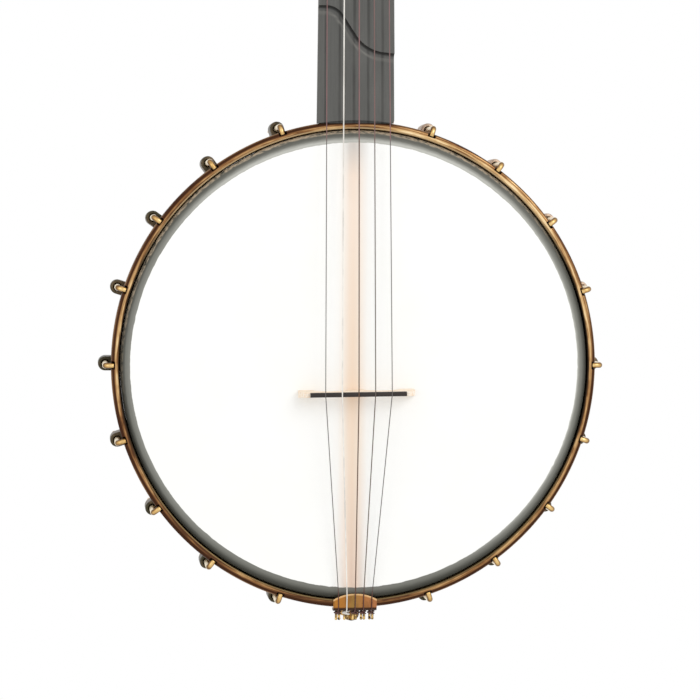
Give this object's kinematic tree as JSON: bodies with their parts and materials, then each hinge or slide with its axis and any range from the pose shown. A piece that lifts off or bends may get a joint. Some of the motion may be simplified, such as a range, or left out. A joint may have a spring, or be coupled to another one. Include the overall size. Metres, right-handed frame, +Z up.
{
  "type": "banjo",
  "caption": "Open-back five-string banjo with a 12 inch pot, notched brass hoop with round hooks, translucent head, dowel stick and fretless scooped neck.",
  "frame": {"origin": "centre of the rim's back face, on the axis of the pot", "axes": "+Z up the neck toward the peghead, -Y out of the head toward the listener, +X to the treble side"},
  "size_m": [0.334, 0.114, 0.9712],
  "materials": {
    "rim_wood": "satin oiled maple",
    "neck_wood": "satin oiled",
    "dowel_wood": "satin",
    "bridge_wood": "matte",
    "ebony": "satin",
    "fingerboard": "matte composite",
    "head_skin": "translucent",
    "aged_brass": "aged",
    "hook_brass": "satin",
    "shoe_brass": "aged",
    "flesh_steel": "satin",
    "bone": "polished bone",
    "tuner_metal": "satin",
    "button_ivory": "gloss",
    "string_grey": "gloss",
    "string_brown": "gloss",
    "string_red": "gloss",
    "string_white": "gloss"
  },
  "bodies": {
    "banjo": {"rim": "rim_wood", "tone_ring": "aged_brass", "head": "head_skin", "flesh_hoop": "flesh_steel", "tension_hoop": "aged_brass", "hooks": "hook_brass", "hook_nuts": "hook_brass", "shoes": "shoe_brass", "shoe_screws": "shoe_brass", "dowel_stick": "dowel_wood", "neck_brace": "hook_brass", "brace_screw": "hook_brass", "end_bolt": "hook_brass", "tail_bracket": "hook_brass", "tailpiece": "aged_brass", "tail_bolt": "hook_brass", "tail_bolt_nut": "hook_brass", "bridge": "bridge_wood", "bridge_cap": "ebony", "neck": "neck_wood", "heel_cap": "ebony", "fingerboard": "fingerboard", "nut": "bone", "fifth_nut": "bone", "peghead": "neck_wood", "peghead_overlay": "fingerboard", "string_1": "string_grey", "string_2": "string_brown", "string_3": "string_red", "string_4": "string_white", "string_5": "string_grey", "tuner_housings": "tuner_metal", "tuner_collars": "hook_brass", "fifth_peg_body": "tuner_metal"},
    "tuner_1_post": {"post_1": "tuner_metal", "winding_1": "string_grey"},
    "tuner_1_button": {"button_1": "button_ivory", "button_screw_1": "tuner_metal"},
    "tuner_2_post": {"post_2": "tuner_metal", "winding_2": "string_brown"},
    "tuner_2_button": {"button_2": "button_ivory", "button_screw_2": "tuner_metal"},
    "tuner_3_post": {"post_3": "tuner_metal", "winding_3": "string_red"},
    "tuner_3_button": {"button_3": "button_ivory", "button_screw_3": "tuner_metal"},
    "tuner_4_post": {"post_4": "tuner_metal", "winding_4": "string_white"},
    "tuner_4_button": {"button_4": "button_ivory", "button_screw_4": "tuner_metal"},
    "fifth_peg_post": {"fifth_post": "tuner_metal", "fifth_winding": "string_grey"},
    "fifth_peg_button": {"fifth_button": "button_ivory", "fifth_button_screw": "tuner_metal"}
  },
  "joints": [
    {"name": "tuner_1_button_turn", "type": "hinge", "parent": "banjo", "child": "tuner_1_button", "pos_m": [0.0228, -0.04109, 0.69808], "axis": [0, -0.965, 0.2622], "continuous": true},
    {"name": "tuner_1_post_turn", "type": "hinge", "parent": "banjo", "child": "tuner_1_post", "pos_m": [0.0228, -0.04109, 0.69808], "axis": [0, -0.965, 0.2622], "continuous": true},
    {"name": "tuner_2_button_turn", "type": "hinge", "parent": "banjo", "child": "tuner_2_button", "pos_m": [0.0228, -0.02746, 0.74826], "axis": [0, -0.965, 0.2622], "continuous": true},
    {"name": "tuner_2_post_turn", "type": "hinge", "parent": "banjo", "child": "tuner_2_post", "pos_m": [0.0228, -0.02746, 0.74826], "axis": [0, -0.965, 0.2622], "continuous": true},
    {"name": "tuner_3_button_turn", "type": "hinge", "parent": "banjo", "child": "tuner_3_button", "pos_m": [-0.0142, -0.02746, 0.74826], "axis": [0, -0.965, 0.2622], "continuous": true},
    {"name": "tuner_3_post_turn", "type": "hinge", "parent": "banjo", "child": "tuner_3_post", "pos_m": [-0.0142, -0.02746, 0.74826], "axis": [0, -0.965, 0.2622], "continuous": true},
    {"name": "tuner_4_button_turn", "type": "hinge", "parent": "banjo", "child": "tuner_4_button", "pos_m": [-0.0142, -0.04109, 0.69808], "axis": [0, -0.965, 0.2622], "continuous": true},
    {"name": "tuner_4_post_turn", "type": "hinge", "parent": "banjo", "child": "tuner_4_post", "pos_m": [-0.0142, -0.04109, 0.69808], "axis": [0, -0.965, 0.2622], "continuous": true},
    {"name": "fifth_peg_button_turn", "type": "hinge", "parent": "banjo", "child": "fifth_peg_button", "pos_m": [-0.02225, -0.04996, 0.49307], "axis": [-1, 0, 0], "continuous": true},
    {"name": "fifth_peg_post_turn", "type": "hinge", "parent": "banjo", "child": "fifth_peg_post", "pos_m": [-0.02225, -0.04996, 0.49307], "axis": [-1, 0, 0], "continuous": true}
  ],
  "couplings": [
    {"joint": "tuner_1_post_turn", "follows": "tuner_1_button_turn", "ratio": 0.25},
    {"joint": "tuner_2_post_turn", "follows": "tuner_2_button_turn", "ratio": 0.25},
    {"joint": "tuner_3_post_turn", "follows": "tuner_3_button_turn", "ratio": 0.25},
    {"joint": "tuner_4_post_turn", "follows": "tuner_4_button_turn", "ratio": 0.25},
    {"joint": "fifth_peg_post_turn", "follows": "fifth_peg_button_turn", "ratio": 0.25}
  ]
}
